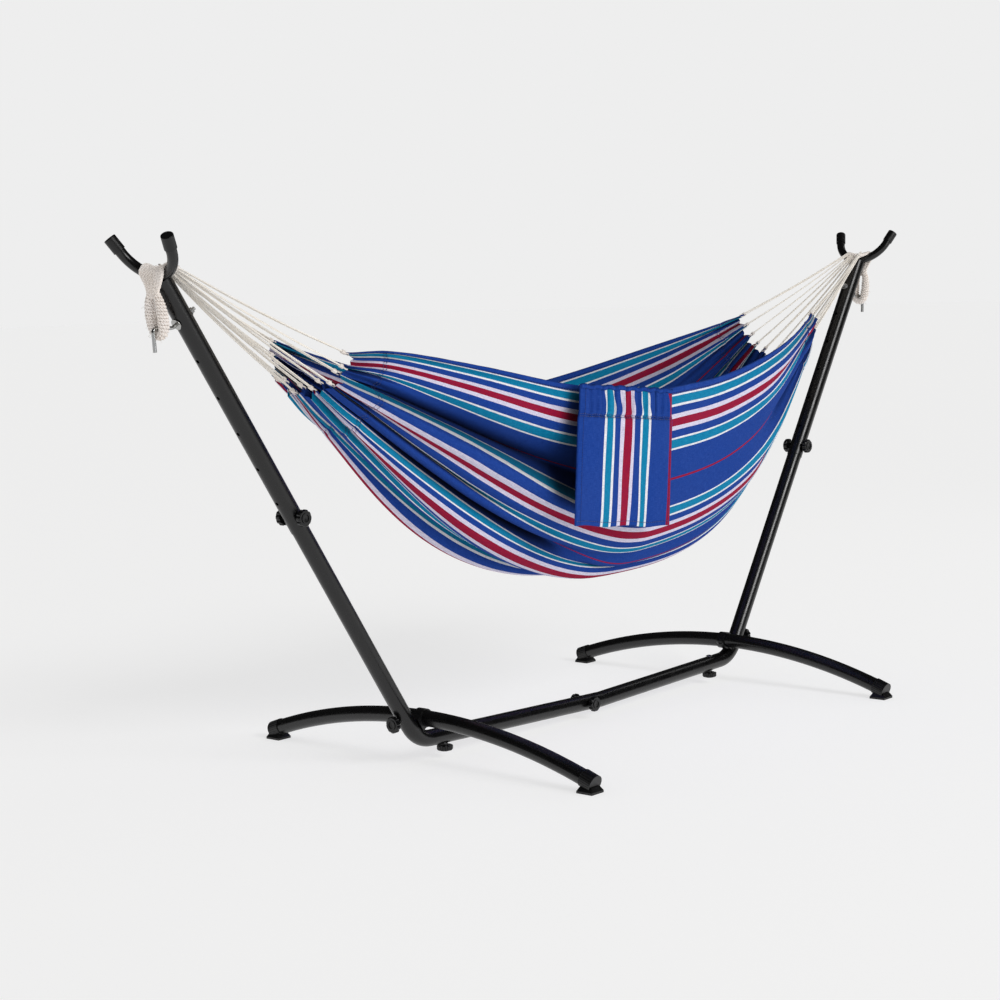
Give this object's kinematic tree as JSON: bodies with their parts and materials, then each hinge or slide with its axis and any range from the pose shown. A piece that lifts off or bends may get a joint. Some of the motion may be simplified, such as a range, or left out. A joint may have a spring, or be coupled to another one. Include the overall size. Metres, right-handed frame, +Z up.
{
  "type": "hammock on stand",
  "caption": "Free-standing hammock: striped cloth trough with fanned end cords, slung between two leaning tube arms on a low spine with arched foot bars.",
  "frame": {"origin": "on the floor, under the middle of the stand", "axes": "+X along the hammock, +Y across it to the side without the pocket, +Z up"},
  "size_m": [2.8152, 1.0414, 1.2389],
  "materials": {
    "powder_coat": "satin black powder coat",
    "cap_plastic": "matt black moulding",
    "knob_plastic": "semi-gloss black moulding",
    "zinc_steel": "bright zinc plate",
    "rope": "natural cotton rope",
    "striped_cloth": "woven cotton with lengthwise stripes",
    "pocket_cloth": "the same striped cotton with the stripes upright"
  },
  "bodies": {
    "stand": {"spine_tube_left": "powder_coat", "spine_tube_right": "powder_coat", "arm_lower_left": "powder_coat", "arm_lower_right": "powder_coat", "arm_upper_left": "powder_coat", "arm_upper_right": "powder_coat", "fork_left": "powder_coat", "fork_right": "powder_coat", "foot_bar_left_front": "powder_coat", "foot_bar_left_back": "powder_coat", "foot_bar_right_front": "powder_coat", "foot_bar_right_back": "powder_coat", "prong_cap_left_front": "cap_plastic", "prong_cap_left_back": "cap_plastic", "prong_cap_right_front": "cap_plastic", "prong_cap_right_back": "cap_plastic", "foot_collar_left": "cap_plastic", "foot_collar_right": "cap_plastic", "foot_cap_left_front": "cap_plastic", "foot_cap_left_back": "cap_plastic", "foot_cap_right_front": "cap_plastic", "foot_cap_right_back": "cap_plastic", "foot_nut_left": "cap_plastic", "foot_nut_right": "cap_plastic", "arm_bolt_left": "zinc_steel", "arm_bolt_right": "zinc_steel", "spine_bolt": "zinc_steel", "stub_bolt_left": "zinc_steel", "stub_bolt_right": "zinc_steel", "foot_bolt_left": "zinc_steel", "foot_bolt_right": "zinc_steel", "hook_left": "zinc_steel", "hook_right": "zinc_steel", "hook_washer_left": "zinc_steel", "hook_washer_right": "zinc_steel", "hook_nut_left": "zinc_steel", "hook_nut_right": "zinc_steel", "rope_eye_left": "rope", "rope_eye_right": "rope"},
    "hammock": {"cords_left": "rope", "cords_right": "rope", "hammock_bed": "striped_cloth", "pocket": "pocket_cloth"},
    "turn_arm_knob_left_front": {"arm_knob_left_front": "knob_plastic"},
    "turn_arm_knob_left_back": {"arm_knob_left_back": "knob_plastic"},
    "turn_arm_knob_right_front": {"arm_knob_right_front": "knob_plastic"},
    "turn_arm_knob_right_back": {"arm_knob_right_back": "knob_plastic"},
    "turn_spine_knob_front": {"spine_knob_front": "knob_plastic"},
    "turn_spine_knob_back": {"spine_knob_back": "knob_plastic"},
    "turn_stub_knob_left": {"stub_knob_left": "knob_plastic"},
    "turn_stub_knob_right": {"stub_knob_right": "knob_plastic"},
    "turn_foot_knob_left": {"foot_knob_left": "knob_plastic"},
    "turn_foot_knob_right": {"foot_knob_right": "knob_plastic"}
  },
  "joints": [
    {"name": "hammock_swing", "type": "hinge", "parent": "stand", "child": "hammock", "pos_m": [0, 0, 1.166], "axis": [1, 0, 0], "range_deg": [-30, 30]},
    {"name": "arm_knob_left_front_turn", "type": "hinge", "parent": "stand", "child": "turn_arm_knob_left_front", "pos_m": [-1.001, 0, 0.62209], "axis": [0, -1, 0], "continuous": true},
    {"name": "arm_knob_left_back_turn", "type": "hinge", "parent": "stand", "child": "turn_arm_knob_left_back", "pos_m": [-1.001, 0, 0.62209], "axis": [0, 1, 0], "continuous": true},
    {"name": "arm_knob_right_front_turn", "type": "hinge", "parent": "stand", "child": "turn_arm_knob_right_front", "pos_m": [1.001, 0, 0.62209], "axis": [0, -1, 0], "continuous": true},
    {"name": "arm_knob_right_back_turn", "type": "hinge", "parent": "stand", "child": "turn_arm_knob_right_back", "pos_m": [1.001, 0, 0.62209], "axis": [0, 1, 0], "continuous": true},
    {"name": "spine_knob_front_turn", "type": "hinge", "parent": "stand", "child": "turn_spine_knob_front", "pos_m": [-0.008, 0, 0.0407], "axis": [0, -1, 0], "continuous": true},
    {"name": "spine_knob_back_turn", "type": "hinge", "parent": "stand", "child": "turn_spine_knob_back", "pos_m": [-0.008, 0, 0.0407], "axis": [0, 1, 0], "continuous": true},
    {"name": "stub_knob_left_turn", "type": "hinge", "parent": "stand", "child": "turn_stub_knob_left", "pos_m": [-0.541, 0, 0.02605], "axis": [0, 0, -1], "continuous": true},
    {"name": "stub_knob_right_turn", "type": "hinge", "parent": "stand", "child": "turn_stub_knob_right", "pos_m": [0.541, 0, 0.02586], "axis": [0, 0, -1], "continuous": true},
    {"name": "foot_knob_left_turn", "type": "hinge", "parent": "stand", "child": "turn_foot_knob_left", "pos_m": [-0.705, 0, 0.11], "axis": [-1, 0, 0], "continuous": true},
    {"name": "foot_knob_right_turn", "type": "hinge", "parent": "stand", "child": "turn_foot_knob_right", "pos_m": [0.705, 0, 0.11], "axis": [1, 0, 0], "continuous": true}
  ]
}
